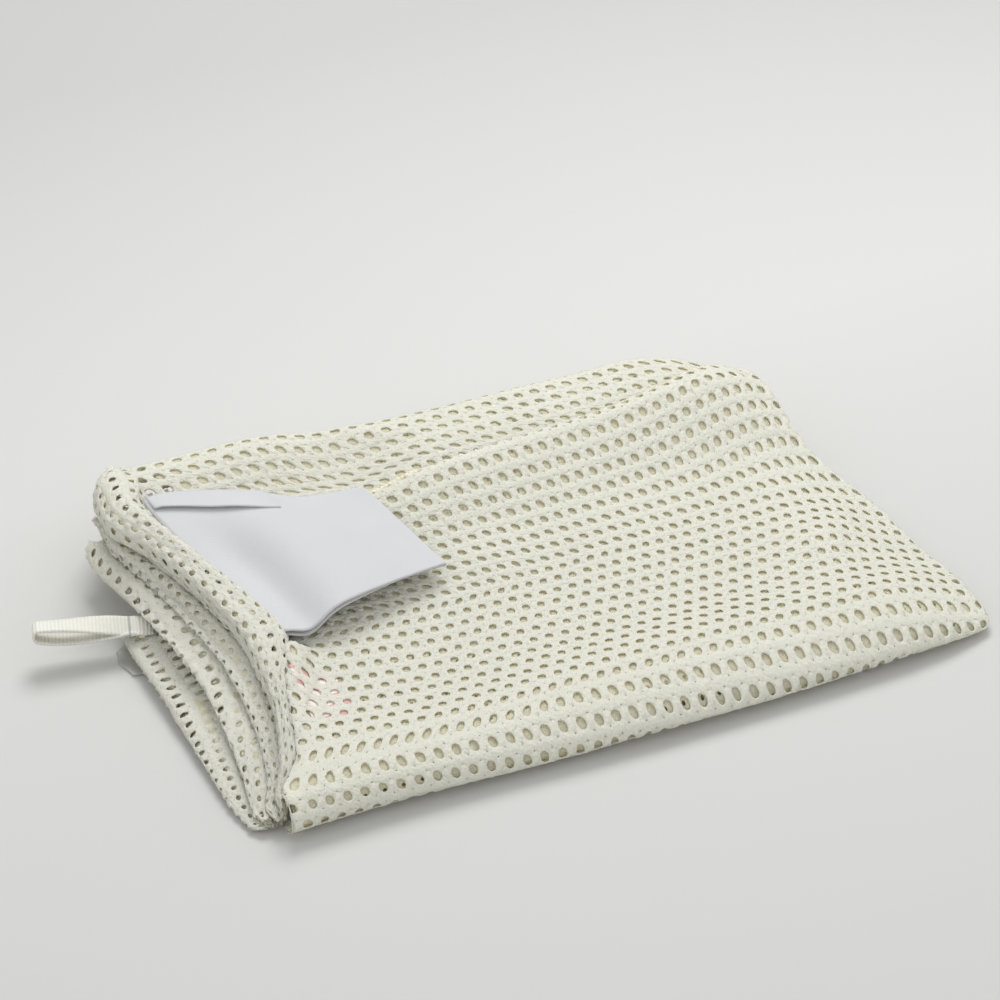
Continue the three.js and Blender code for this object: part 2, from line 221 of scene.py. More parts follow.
class Shader:
    # small helper that adds nodes to a material and joins them

    def __init__(self, name):
        self.material = bpy.data.materials.new(name)
        self.material.use_nodes = True
        self.tree = self.material.node_tree
        self.tree.nodes.clear()
        self.output = self.tree.nodes.new("ShaderNodeOutputMaterial")

    def node(self, kind, settings=None, **inputs):
        made = self.tree.nodes.new(kind)
        for key, value in (settings or {}).items():
            setattr(made, key, value)
        for key, value in inputs.items():
            self.join(value, made, key.replace("_", " "))
        return made

    def join(self, value, node, key):
        numbered = key[0] == "n" and key[1:].isdigit()
        socket = node.inputs[int(key[1:])] if numbered else socketNamed(node.inputs, key)
        if isinstance(value, bpy.types.NodeSocket):
            self.tree.links.new(value, socket)
        else:
            socket.default_value = value

    def math(self, operation, a, b=0.0, c=0.0):
        return self.node("ShaderNodeMath", {"operation": operation}, n0=a, n1=b, n2=c).outputs[0]

    def ramp(self, value, stops):
        made = self.node("ShaderNodeValToRGB", n0=value)
        elements = made.color_ramp.elements
        while len(elements) < len(stops):
            elements.new(0.5)
        for element, (place, colour) in zip(elements, stops):
            element.position = place
            element.color = colour
        return made.outputs[0]


# light is the colour on the stitch tops, shade the darker colour in the hollows between stitches: painted
# shade
clothLook = {
    "light": "fbfbf6",
    "shade": "f5f6ec",
    "through": "fbf9ea",
    "rough": 0.85,
    "translucent": 0.42,
    "yarnDepth": 0.00042,
    "stitchesPerMetre": 1150,
}
# the inner layers are the same knit as the outside, given a brighter, warmer colour: painted warm light
# bouncing inside the holes
innerBounceLook = {**clothLook, "light": "fbf9ea", "shade": "f5f1d8", "through": "fdf9e4", "translucent": 0.5}


def knitMaterial(name, look):
    s = Shader(name)
    place = s.node("ShaderNodeUVMap", {"uv_map": "flat"}).outputs[0]
    stitch = s.node(
        "ShaderNodeTexVoronoi",
        {"feature": "SMOOTH_F1"},
        Vector=place,
        Scale=look["stitchesPerMetre"],
        Smoothness=0.6,
    ).outputs["Distance"]
    stretch = s.node("ShaderNodeMapping", Vector=place)
    stretch.inputs["Scale"].default_value = (5200, 1700, 1)
    stretch.inputs["Rotation"].default_value = (0, 0, 0.5)
    fibre = s.node(
        "ShaderNodeTexNoise", Vector=stretch.outputs[0], Scale=1.0, Detail=3.0, Roughness=0.65
    ).outputs[0]
    patch = s.node("ShaderNodeTexNoise", Vector=place, Scale=38.0, Detail=3.0).outputs[0]
    height = s.math("MULTIPLY_ADD", fibre, 0.55, s.math("MULTIPLY", stitch, -1.0))
    bump = s.node("ShaderNodeBump", Height=height, Distance=look["yarnDepth"], Strength=0.75).outputs[0]
    # darker where the stitch bump sinks between stitches (painted shade), mixed with random tone patches
    low = s.math("MULTIPLY_ADD", stitch, 0.55, s.math("MULTIPLY", patch, 0.5))
    colour = s.ramp(low, [(0.2, colourOf(look["light"])), (0.95, colourOf(look["shade"]))])
    body = s.node("ShaderNodeBsdfPrincipled", Base_Color=colour, Roughness=look["rough"], Normal=bump)
    body.inputs["Specular IOR Level"].default_value = 0.25
    body.inputs["Sheen Weight"].default_value = 0.15
    glow = s.node("ShaderNodeBsdfTranslucent", Color=colourOf(look["through"]), Normal=bump)
    both = s.node("ShaderNodeMixShader", n0=look["translucent"], n1=body.outputs[0], n2=glow.outputs[0])
    s.tree.links.new(both.outputs[0], s.output.inputs["Surface"])
    return s.material


wovenLook = {
    "light": "d8d8da",
    "shade": "cecfd2",
    "ribsPerMetre": 2100,
    "ribDepth": 0.00003,
    "ribAngle": -0.05,
}


def wovenMaterial(name, look, along=0, translucent=0.12):
    s = Shader(name)
    place = s.node("ShaderNodeUVMap", {"uv_map": "flat"}).outputs[0]
    turned = s.node("ShaderNodeMapping", Vector=place)
    turned.inputs["Rotation"].default_value = (0, 0, look["ribAngle"])
    wave = s.node(
        "ShaderNodeTexWave",
        {"bands_direction": "Y" if along == 0 else "X"},
        Vector=turned.outputs[0],
        Scale=look["ribsPerMetre"] * 0.314,
        Distortion=0.6,
        Detail=1.0,
    )
    wave.inputs["Detail Scale"].default_value = 3.0
    fibre = s.node("ShaderNodeTexNoise", Vector=place, Scale=2600.0, Detail=2.0).outputs[0]
    patch = s.node("ShaderNodeTexNoise", Vector=place, Scale=60.0, Detail=2.0).outputs[0]
    height = s.math("MULTIPLY_ADD", fibre, 0.5, wave.outputs["Fac"])
    bump = s.node("ShaderNodeBump", Height=height, Distance=look["ribDepth"], Strength=0.8).outputs[0]
    # lighter on the rib crests and darker in the grooves between ribs (painted shade), mixed with random tone
    # patches
    low = s.math("MULTIPLY_ADD", wave.outputs["Fac"], 0.4, s.math("MULTIPLY", patch, 0.6))
    colour = s.ramp(low, [(0.1, colourOf(look["shade"])), (0.9, colourOf(look["light"]))])
    body = s.node("ShaderNodeBsdfPrincipled", Base_Color=colour, Roughness=0.75, Normal=bump)
    body.inputs["Specular IOR Level"].default_value = 0.3
    body.inputs["Sheen Weight"].default_value = 0.2
    glow = s.node("ShaderNodeBsdfTranslucent", Color=colour, Normal=bump)
    both = s.node("ShaderNodeMixShader", n0=translucent, n1=body.outputs[0], n2=glow.outputs[0])
    s.tree.links.new(both.outputs[0], s.output.inputs["Surface"])
    return s.material


def partMaterial(name, colour, rough, metal=0.0, grain=900.0, depth=0.00004):
    # for the hard parts: a base with fine wear, on object coordinates
    s = Shader(name)
    place = s.node("ShaderNodeTexCoord").outputs["Object"]
    grainy = s.node("ShaderNodeTexNoise", Vector=place, Scale=grain, Detail=3.0).outputs[0]
    patch = s.node("ShaderNodeTexNoise", Vector=place, Scale=grain / 9, Detail=2.0).outputs[0]
    bump = s.node("ShaderNodeBump", Height=grainy, Distance=depth, Strength=0.6).outputs[0]
    base = colourOf(colour)
    darker = tuple(c * 0.82 for c in base[:3]) + (1.0,)
    tone = s.ramp(patch, [(0.3, darker), (0.7, base)])
    sheen = s.math("MULTIPLY_ADD", patch, 0.2, rough - 0.1)
    body = s.node("ShaderNodeBsdfPrincipled", Base_Color=tone, Roughness=sheen, Metallic=metal, Normal=bump)
    s.tree.links.new(body.outputs[0], s.output.inputs["Surface"])
    return s.material


knitLook = knitMaterial("knitted mesh", clothLook)
# the inner layers' material: the same knit with painted warm bounce light in its colour
innerLook = knitMaterial("knitted mesh inside", innerBounceLook)
flapLook = wovenMaterial("flap twill", wovenLook)
tapeLook = wovenMaterial(
    "ribbed tape",
    {"light": "f6f5ee", "shade": "e4e2d6", "ribsPerMetre": 960, "ribDepth": 0.00018, "ribAngle": 0.0},
    along=1,
)
threadLook = partMaterial("overlock thread", "efe8cb", 0.8, grain=2400.0, depth=0.0001)
plasticLook = partMaterial("zip plastic", "f3f1e8", 0.42)
metalLook = partMaterial("painted zip metal", "dededa", 0.34, metal=0.35)
print("materials made")


# knitted mesh by geometry nodes
knit = {
    "pitch": 4.92,
    "row": 6.2,
    "holeWide": 2.3,
    "holeTall": 3.0,
    "thick": 0.6,
    "rim": 0.5,
    "underRim": 0.4,
    "pinhole": 0.26,
}


def cellObject(name, detailed, values):
    # one repeat of the mesh in the flat: an oval hole, its rounded rim and the small holes beside it
    p, h = values["pitch"] / 2, values["row"] / 2
    pin = values["pinhole"]
    level = values["row"] / 3
    if detailed:
        side = [-h, -level - pin, (-level, pin), -level + pin, 0, level - pin, (level, pin), level + pin, h]
        rightEdge = [(p - s[1], s[0]) if isinstance(s, tuple) else (p, s) for s in side]
    else:
        rightEdge = [(p, y) for y in (-h, 0, h)]
    leftEdge = [(-x, y) for x, y in reversed(rightEdge)]
    topEdge = [(x, h) for x in (p, 0, -p)]
    bottomEdge = [(x, -h) for x in (-p, 0, p)]
    border = np.array(rightEdge[:-1] + topEdge[:-1] + leftEdge[:-1] + bottomEdge[:-1])
    holes = np.array([values["holeWide"] / 2, values["holeTall"] / 2])
    angle = np.arctan2(border[:, 1] / holes[1], border[:, 0] / holes[0])
    if detailed:
        start = len(border)
        order = np.argsort(np.unwrap(angle))
        even = np.linspace(angle[order[0]], angle[order[0]] + 2 * np.pi, start, endpoint=False)
        angle = mix(np.unwrap(angle), even[np.argsort(order)], 0.6)
    rim = np.stack([holes[0] * np.cos(angle), holes[1] * np.sin(angle)], -1)
    near = rim + unit(border - rim) * values["rim"]
    half = values["thick"] / 2
    n = len(border)
    if detailed:
        rings = [(rim, 0.0), (near, 0.82 * half), (border, half)]
        under = [(rim + unit(border - rim) * values["underRim"], -0.8 * half), (border, -half)]
    else:
        rings = [(rim, 0.0), (border, half)]
        under = [] if values.get("oneSided") else [(border, -half)]
    points = []
    for ring, z in rings + under:
        points += [(x / 1000, y / 1000, z / 1000) for x, y in ring]
    faces = []

    def strip(a, b):
        for i in range(n):
            j = (i + 1) % n
            faces.append((a * n + i, b * n + i, b * n + j, a * n + j))

    count = len(rings)
    for k in range(count - 1):
        strip(k, k + 1)
    if under:
        strip(count, 0)
    for k in range(len(under) - 1):
        strip(count + k + 1, count + k)
    if detailed:
        top, low = count - 1, count + len(under) - 1
        for i, (x, y) in enumerate(border):
            j = (i + 1) % n
            notch = abs(abs(x) - p) > 0.01 and abs(y) < h - 0.01
            other = abs(abs(border[j][0]) - p) > 0.01 and abs(border[j][1]) < h - 0.01
            if notch or other:
                faces.append((top * n + i, low * n + i, low * n + j, top * n + j))
    mesh = bpy.data.meshes.new(name)
    mesh.from_pydata(points, [], faces)
    obj = bpy.data.objects.new(name, mesh)
    bpy.context.scene.collection.objects.link(obj)
    return obj


fineCell = cellObject("fine cell", True, knit)
plainKnit = {**knit, "holeWide": 1.9, "holeTall": 2.4, "thick": 0.5, "oneSided": True}
plainCell = cellObject("plain cell", False, plainKnit)
tightKnit = {**knit, "holeWide": 1.75, "holeTall": 2.5, "pinhole": 0.2, "thick": 0.66}
tightCell = cellObject("tight cell", True, tightKnit)
coreKnit = {**knit, "holeWide": 1.0, "holeTall": 1.4, "thick": 0.4}
coreCell = cellObject("core cell", False, coreKnit)
denseCell = cellObject("dense cell", False, {**coreKnit, "oneSided": True})


def knitTree():
    tree = bpy.data.node_groups.new("perforated knit", "GeometryNodeTree")
    face = tree.interface
    face.new_socket("Geometry", in_out="INPUT", socket_type="NodeSocketGeometry")
    face.new_socket("Cell", in_out="INPUT", socket_type="NodeSocketObject")
    face.new_socket("Material", in_out="INPUT", socket_type="NodeSocketMaterial")
    for name, kind, value in [
        ("Columns", "NodeSocketInt", 10),
        ("Rows", "NodeSocketInt", 10),
        ("Pitch", "NodeSocketFloat", knit["pitch"] / 1000),
        ("Row Height", "NodeSocketFloat", knit["row"] / 1000),
        ("Start X", "NodeSocketFloat", 0.0),
        ("Start Y", "NodeSocketFloat", 0.0),
        ("Shear", "NodeSocketFloat", 0.0),
        ("Unevenness", "NodeSocketFloat", 0.0),
        ("Crumple", "NodeSocketFloat", 0.0),
        ("Seed", "NodeSocketInt", 3),
    ]:
        face.new_socket(name, in_out="INPUT", socket_type=kind).default_value = value
    face.new_socket("Geometry", in_out="OUTPUT", socket_type="NodeSocketGeometry")
    nodes, links = tree.nodes, tree.links

    def node(kind, settings=None, **inputs):
        made = nodes.new(kind)
        for key, value in (settings or {}).items():
            setattr(made, key, value)
        for key, value in inputs.items():
            if key[1:].isdigit():
                socket = made.inputs[int(key[1:])]
            else:
                socket = socketNamed(made.inputs, key.replace("_", " "))
            if isinstance(value, bpy.types.NodeSocket):
                links.new(value, socket)
            else:
                socket.default_value = value
        return made

    def calc(operation, a, b=0.0):
        return node("ShaderNodeMath", {"operation": operation}, n0=a, n1=b).outputs[0]

    given = nodes.new("NodeGroupInput").outputs
    # points of the lattice, every other row shifted by half a pitch
    count = calc("MULTIPLY", given["Columns"], given["Rows"])
    line = node("GeometryNodePoints", Count=count)
    index = nodes.new("GeometryNodeInputIndex").outputs[0]
    row = calc("FLOOR", calc("DIVIDE", index, given["Columns"]))
    column = calc("SUBTRACT", index, calc("MULTIPLY", row, given["Columns"]))
    shift = calc("MULTIPLY", calc("MODULO", row, 2.0), 0.5)
    x = calc("MULTIPLY", calc("ADD", column, shift), given["Pitch"])
    y = calc("MULTIPLY", row, given["Row Height"])
    placeX, placeY = calc("ADD", x, given["Start X"]), calc("ADD", y, given["Start Y"])
    place = node("ShaderNodeCombineXYZ", X=placeX, Y=placeY)
    placed = node("GeometryNodeSetPosition", Geometry=line.outputs[0], Position=place.outputs[0])
    cell = node("GeometryNodeObjectInfo", {"transform_space": "ORIGINAL"}, Object=given["Cell"])
    copies = node("GeometryNodeInstanceOnPoints", Points=placed.outputs[0], Instance=cell.outputs["Geometry"])
    real = node("GeometryNodeRealizeInstances", Geometry=copies.outputs[0])
    weld = node("GeometryNodeMergeByDistance", Geometry=real.outputs[0], Distance=0.00003)
    # the flat place of every vertex, a little uneven, then its place on the draped cloth
    flat = nodes.new("GeometryNodeInputPosition").outputs[0]
    parts = node("ShaderNodeSeparateXYZ", Vector=flat)
    seed = calc("MULTIPLY", given["Seed"], 0.37)
    wobbleAt = node("ShaderNodeCombineXYZ", X=parts.outputs["X"], Y=parts.outputs["Y"], Z=seed)
    noise = node("ShaderNodeTexNoise", Vector=wobbleAt.outputs[0], Scale=130.0, Detail=1.0)
    grey = (0.5, 0.5, 0.5)
    centred = node("ShaderNodeVectorMath", {"operation": "SUBTRACT"}, n0=noise.outputs["Color"], n1=grey)
    uneven = given["Unevenness"]
    scaled = node("ShaderNodeVectorMath", {"operation": "SCALE"}, n0=centred.outputs[0], Scale=uneven)
    moved = node("ShaderNodeVectorMath", {"operation": "ADD"}, n0=flat, n1=scaled.outputs[0])
    parts2 = node("ShaderNodeSeparateXYZ", Vector=moved.outputs[0])
    lean = calc("MULTIPLY", parts2.outputs["Y"], given["Shear"])
    where = node("ShaderNodeCombineXYZ", X=calc("ADD", parts2.outputs["X"], lean), Y=parts2.outputs["Y"])
    stored = node(
        "GeometryNodeStoreNamedAttribute",
        {"data_type": "FLOAT2", "domain": "CORNER"},
        Geometry=weld.outputs[0],
        Name="flat",
        Value=where.outputs[0],
    )
    vector = {"data_type": "FLOAT_VECTOR"}
    uv = node("GeometryNodeInputNamedAttribute", vector, Name="flat").outputs[0]
    outward = node("GeometryNodeInputNamedAttribute", vector, Name="outward").outputs[0]
    spot = nodes.new("GeometryNodeInputPosition").outputs[0]

    def sampled(value):
        made = node("GeometryNodeSampleUVSurface", vector, Mesh=given["Geometry"], Value=value)
        links.new(uv, made.inputs["UV Map"] if "UV Map" in made.inputs else made.inputs["Source UV Map"])
        links.new(where.outputs[0], made.inputs["Sample UV"])
        return made

    onCloth, normal = sampled(spot), sampled(outward)
    valid = onCloth.outputs["Is Valid"]
    rough = node("ShaderNodeTexNoise", Vector=wobbleAt.outputs[0], Scale=330.0, Detail=1.5).outputs["Fac"]
    crumple = calc("MULTIPLY", calc("SUBTRACT", rough, 0.5), given["Crumple"])
    rise = calc("ADD", parts.outputs["Z"], crumple)
    offset = node("ShaderNodeVectorMath", {"operation": "SCALE"}, n0=normal.outputs[0], Scale=rise)
    final = node("ShaderNodeVectorMath", {"operation": "ADD"}, n0=onCloth.outputs[0], n1=offset.outputs[0])
    keepValid = node("GeometryNodeStoreNamedAttribute", {"data_type": "BOOLEAN", "domain": "POINT"})
    links.new(stored.outputs[0], keepValid.inputs["Geometry"])
    keepValid.inputs["Name"].default_value = "offCloth"
    invalid = node("FunctionNodeBooleanMath", {"operation": "NOT"}, n0=valid)
    links.new(invalid.outputs[0], keepValid.inputs["Value"])
    draped = node("GeometryNodeSetPosition", Geometry=keepValid.outputs[0], Position=final.outputs[0])
    off = node("GeometryNodeInputNamedAttribute", {"data_type": "BOOLEAN"}, Name="offCloth").outputs[0]
    byPoint = {"domain": "POINT"}
    trimmed = node("GeometryNodeDeleteGeometry", byPoint, Geometry=draped.outputs[0], Selection=off)
    soft = node("GeometryNodeSetShadeSmooth", Geometry=trimmed.outputs[0])
    dressed = node("GeometryNodeSetMaterial", Geometry=soft.outputs[0], Material=given["Material"])
    out = nodes.new("NodeGroupOutput")
    links.new(dressed.outputs[0], out.inputs[0])
    return tree


knitGroup = knitTree()


def asPlainMesh(obj, drop=("outward", "offCloth")):
    depsgraph = bpy.context.evaluated_depsgraph_get()
    made = bpy.data.meshes.new_from_object(obj.evaluated_get(depsgraph), depsgraph=depsgraph)
    obj.modifiers.clear()
    obj.data = made
    made.name = obj.name
    for name in drop:
        if name in made.attributes:
            made.attributes.remove(made.attributes[name])
    return obj


def latticed(points, pitchAt, rowAt, tiltAt, swap=False):
    # the cloth laid flat so that the mesh repeats evenly: pitchAt and rowAt give the stretched
    # repeat at each y, tiltAt how far the rows run downhill
    even = laidOut(points) * 1000
    y = points[..., 1]
    if swap:
        even = even[..., ::-1]
    middle = even[..., 0].mean()
    u = (even[..., 0] - middle) * knit["pitch"] / pitchAt(y)
    line = y.mean(1)
    step = np.diff(even[:, 0, 1]) if not swap else None
    if swap:
        v = even[..., 1] * knit["row"] / rowAt(y)
    else:
        rows = np.concatenate([[0], np.cumsum(step * knit["row"] / rowAt((line[1:] + line[:-1]) / 2))])
        v = rows[:, None] - tiltAt(y) * (even[..., 0] - middle) * knit["row"] / rowAt(y)
    return np.stack([u, v], -1) / 1000


def knitted(
    name, points, cell=None, seed=3, shear=0.0, uneven=0.9, swap=False, flat=None, look=None, crumple=0.5
):
    # a perforated cloth on the draped surface; swap runs the rows the other way
    plain = laidOut(points)
    width, length = plain[0, -1, 0], plain[-1, 0, 1]
    if flat is None:
        flat = plain[..., ::-1] if swap else plain
    base = gridMesh(name, points, flat)
    crumple = 0.15 if look else crumple
    pitch, row = knit["pitch"] / 1000, knit["row"] / 1000
    low, high = flat.reshape(-1, 2).min(0), flat.reshape(-1, 2).max(0)
    lean = [shear * low[1], shear * high[1]]
    startX = low[0] - max(lean) - pitch
    modifier = base.modifiers.new("knit", "NODES")
    modifier.node_group = knitGroup
    values = {
        "Cell": cell or fineCell,
        "Material": look or knitLook,
        "Columns": int((high[0] - min(lean) - startX) / pitch) + 2,
        "Rows": int((high[1] - low[1]) / row) + 3,
        "Pitch": pitch,
        "Row Height": row,
        "Start X": startX + seed * 0.0007,
        "Start Y": low[1] - row / 2 + seed * 0.0003,
        "Shear": shear,
        "Crumple": crumple / 1000,
        "Unevenness": uneven / 1000,
        "Seed": seed,
    }
    for item in knitGroup.interface.items_tree:
        if item.item_type == "SOCKET" and item.in_out == "INPUT" and item.name in values:
            modifier[item.identifier] = values[item.name]
    asPlainMesh(base)
    base["flatSize"] = [float(width), float(length)]
    return base


# the folded leaves
leaves = {
    "outerDepth": 0.32,
    "innerDepth": 0.84,
    "nextDepth": 1.24,
    "lastDepth": 1.62,
    "labelRoom": 0.35,
    "frontReach": 8.2,
    "frontMiddle": 1.7,
    "backRound": 8.0,
    "ridgeRound": 7.0,
    "endRadius": 4.8,
}


def section(x, part, t):
    # outer and middle profile points of the folded stack at x: part is top, front or under, t runs 0 to 1
    if part == "top":
        y = mix(ridge(x) - 1.2, 2.0, t)
        seam = lowerTop(x, ridge(x)) + 2.2
        low = lowerTop(x, y) + 0.5
        high = stackTop(x, y) + ripples(x, y) * smooth((y - 4) / 14) * endFall(x, y)
        near = np.clip((y - (ridge(x) - leaves["ridgeRound"])) / (leaves["ridgeRound"] - 1.2), 0, 1)
        round_ = np.sqrt(np.maximum(1 - near**2, 0))
        high = seam + (high - seam) * round_
        low = mix(low, seam - 0.3, near**2)
        return y, high, y, low
    if part == "front":
        angle = np.pi * t
        half = stackTop(x, 2.0) / 2
        y = leaves["frontMiddle"] - leaves["frontReach"] * np.sin(angle)
        y = y - frontSpread(x) * np.sin(angle) * (1 - np.cos(angle)) / 2
        y = y + 0.3 * np.cos(angle)
        high = half + half * np.cos(angle) * 0.97 + 0.02 * half
        yMiddle = 2.0 - 1.2 * np.sin(angle)
        low = lowerTop(x, 2.0) + 0.5 * np.cos(angle)
        return y, high, yMiddle, low
    y = mix(2.0, back(x) - 1.3, t)
    rear = back(x) - 1.3
    seam = lowerTop(x, back(x)) / 2
    near = np.clip((y - (rear - leaves["backRound"])) / leaves["backRound"], 0, 1)
    round_ = np.sqrt(np.maximum(1 - near**2, 0))
    low = seam + (lowerTop(x, y) - 0.5 + 0.35 * ripples(x, y) * smooth((y - 100) / 12) - seam) * round_
    high = seam + (0.5 - seam) * round_
    return y, high, y, low


def profile(x, v):
    # the same, along the whole way from the ridge over the front to the back edge:
    # v 0..1 is the top, 1..2 the front, 2..3 the under side
    top = section(x, "top", np.clip(v, 0, 1))
    front = section(x, "front", np.clip(v - 1, 0, 1))
    under = section(x, "under", np.clip(v - 2, 0, 1))
    return [np.where(v <= 1, a, np.where(v <= 2, b, c)) for a, b, c in zip(top, front, under)]


printLabel = {"centre": (24.5, 31), "size": (13, 18), "depth": 0.86, "thick": 0.0002}


def labelBump(x, y):
    # room for the label between the two upper panels
    away = ((x - printLabel["centre"][0]) / 9) ** 2 + ((y - printLabel["centre"][1]) / 12) ** 2
    return 1 - smooth(away - 0.4)


def share(x, outside, middle, layer, v):
    # how far a layer lies from the outside to the middle of the stack
    apart = np.sqrt((outside[0] - middle[0]) ** 2 + (outside[1] - middle[1]) ** 2) + 1e-9
    room = leaves["labelRoom"] * labelBump(x, outside[0]) * (v < 1)

    def inward(name, most=0.46):
        return np.minimum((leaves[name] + (room if name != "outerDepth" else 0)) / apart, most)

    if layer == "middle":
        return mix(inward("lastDepth", 0.5), 1 - inward("outerDepth"), smooth((v - 1.1) / 0.5))
    if layer == "next":
        return mix(inward("nextDepth", 0.48), 1 - inward("innerDepth"), smooth((v - 1.2) / 0.8))
    if layer == "inner":
        return mix(inward("innerDepth"), 1 - inward("nextDepth", 0.48), smooth((v - 2.5) / 0.15))
    return inward("outerDepth")


def leafGrid(layer, vStops, span, fold=True, wall=0.0, left=None):
    # span counts columns; fold adds the rolled right end; left moves the zip side's edge
    v = np.asarray(vStops)[:, None]
    startY = profile(np.full_like(v, 40.0), v)[0]
    startX = leavesLeft(np.clip(startY, 0, 130)) - (0 if left is None else left(startY))
    # the front corner reaches under the mouth's rolls
    startX = startX - 3.2 * (1 - smooth((startY + 2) / 12))
    endX = rightEnd(np.clip(profile(np.full_like(v, 190.0), v)[0], 0, 130)) - leaves["endRadius"]
    columns = []
    for s in np.linspace(0, 1, span):
        x = mix(startX, endX, s)
        yo, zo, ym, zm = profile(x, v)
        depth = share(x, (yo, zo), (ym, zm), layer, v)
        columns.append(np.stack([x, mix(yo, ym, depth), mix(zo, zm, depth)], -1)[:, 0])
    if fold:
        yo, zo, ym, zm = profile(endX, v)
        amount = np.abs(1 - 2 * share(endX, (yo, zo), (ym, zm), layer, v))
        for angle in np.linspace(0, math.pi, 10)[1:]:
            c = amount * math.cos(angle) / 2
            y = (yo + ym) / 2 + (yo - ym) * c
            z = (zo + zm) / 2 + (zo - zm) * c
            x = endX + leaves["endRadius"] * amount * math.sin(angle)
            columns.append(np.stack([x, y, z], -1)[:, 0])
    points = np.stack(columns, 1)
    if wall:
        # the zip side turns down into the crease
        first = points[:, 0]
        upright = smooth((first[:, 1] - 3) / 7)
        radius = mix(0.1, mix(0.7, wall, smooth((first[:, 1] - 42) / 8)), upright)
        drop = []
        for k in np.linspace(1, 0, 7, endpoint=False):
            down = first.copy()
            angle = k * math.pi / 2
            down[:, 0] += radius * (1 - math.sin(angle))
            down[:, 2] -= radius * (1 - math.cos(angle))
            drop.append(down)
        deep = drop[0].copy()
        deep[:, 0] -= 0.5 * (1 - upright)
        deep[:, 2] = np.maximum(deep[:, 2] - 0.1 - 4.4 * upright, np.minimum(deep[:, 2], 1.0))
        points = np.concatenate([deep[:, None], np.stack(drop, 1), points[:, 3:]], 1)
    return points


def stops(*ranges):
    return np.unique(np.concatenate([np.linspace(a, b, n) for a, b, n in ranges]))


pitchAt = through([(0, 4.6), (50, 4.75), (100, 5.35)])
rowAt = through([(-6, 7.0), (1, 6.6), (8, 5.4), (18, 4.8), (55, 4.75), (75, 5.6), (100, 6.2)])
tiltAt = through([(0, 0.104), (45, 0.104), (85, 0.02)])
topV = stops((0, 0.14, 9), (0.14, 1, 60), (1, 2, 22))
topGrid = leafGrid("outer", topV, 130, wall=2.2)
topFlat = latticed(topGrid, pitchAt, rowAt, tiltAt)
outerTop = knitted("outer_panel_top", topGrid, seed=3, shear=0.06, flat=topFlat)
print("outer panel over the top and front:", len(outerTop.data.polygons))

underV = stops((2, 2.94, 40), (2.94, 3, 9))
outerUnder = knitted("outer_panel_under", leafGrid("outer", underV, 80), cell=plainCell, seed=5, shear=0.06)
rearReach = through([(106, 0), (118, 12), (130, 11), (139, 8)])
rearGrid = leafGrid("middle", stops((2.66, 2.94, 26), (2.94, 3, 9)), 130, fold=False, left=rearReach)
rearPitch = through([(90, 5.2), (130, 5.2)])
rearRow = through([(90, 6.0), (130, 5.6)])
rearTilt = through([(90, 0.0), (130, 0.03)])
rearFlat = latticed(rearGrid, rearPitch, rearRow, rearTilt)
thirdLeaf = knitted("third_leaf_back", rearGrid, seed=7, flat=rearFlat)
middleV = stops((0, 0.14, 7), (0.14, 1, 30), (1, 2, 9), (2, 2.68, 26))
middleLeaf = knitted(
    "middle_leaves", leafGrid("middle", middleV, 80, fold=False), cell=denseCell, seed=8, look=innerLook
)
innerV = stops((0, 0.14, 7), (0.14, 1, 40), (1, 2, 16), (2, 2.94, 30), (2.94, 3, 7))
innerOuter = knitted(
    "inner_panel_outside", leafGrid("inner", innerV, 90), cell=denseCell, seed=11, shear=-0.05, look=innerLook
)
innerInner = knitted(
    "inner_panel_inside",
    leafGrid("next", innerV, 90, fold=False),
    cell=denseCell,
    seed=13,
    shear=0.03,
    look=innerLook,
)
print("leaves folded")

# the folded mouth, one cloth lying in four rolls
rollUnder = through([(3, 6.2), (10, 8), (28, 11.5), (50, 15.5), (75, 18), (95, 19.8), (112, 20.5), (137, 17)])
bandUnder = through([(3, 4.6), (10, 6), (28, 8.8), (50, 12), (75, 15), (95, 16.5), (112, 17)])
hollowTop = through([(3, 3), (10, 3.8), (28, 5.8), (50, 7.6), (70, 10.8), (97, 10.8), (112, 8.5)])
hollowFloor = through([(3, 2.6), (10, 3.3), (28, 5), (50, 6.4), (90, 7.6)])
mouthRolls = [
    {
        "left": through(
            [
                (3, -1), (10, 3.2), (28, 9), (50, 9.5), (75, 5),
                (95, -1.5), (112, -9), (127, -8), (137, -3),
            ]
        ),
        "low": lambda y: rollUnder(y) + 0.3,
        "high": rollTop,
        "rear": 137.0,
    },
    {
        "left": through([(3, -4), (10, -0.5), (28, 3.4), (50, 3.5), (75, 0), (95, -4.5), (112, -9)]),
        "low": lambda y: bandUnder(y) + 0.3,
        "high": lambda y: rollUnder(y) - 0.3,
        "rear": 128.0,
    },
    {
        "left": through([(3, -7), (19, -4.8), (46, -3.5), (73, -6.4), (92, -10), (115, -14)]),
        "low": lambda y: hollowTop(y) + 0.2,
        "high": lambda y: bandUnder(y) - 0.3,
        "rear": 121.0,
    },
    {
        "left": through([(3, -9.2), (11, -10.8), (34, -12), (60, -13), (90, -14)]),
        "low": lambda y: 0.9 + 0 * y,
        "high": lambda y: hollowFloor(y) - 0.2,
        "rear": 91.0,
    },
]


rootShift = through([(51, 0.0), (66, 1.2), (82, 3.2), (98, 5.0), (108, 4.6), (116, 3.0), (126, 0.5)])


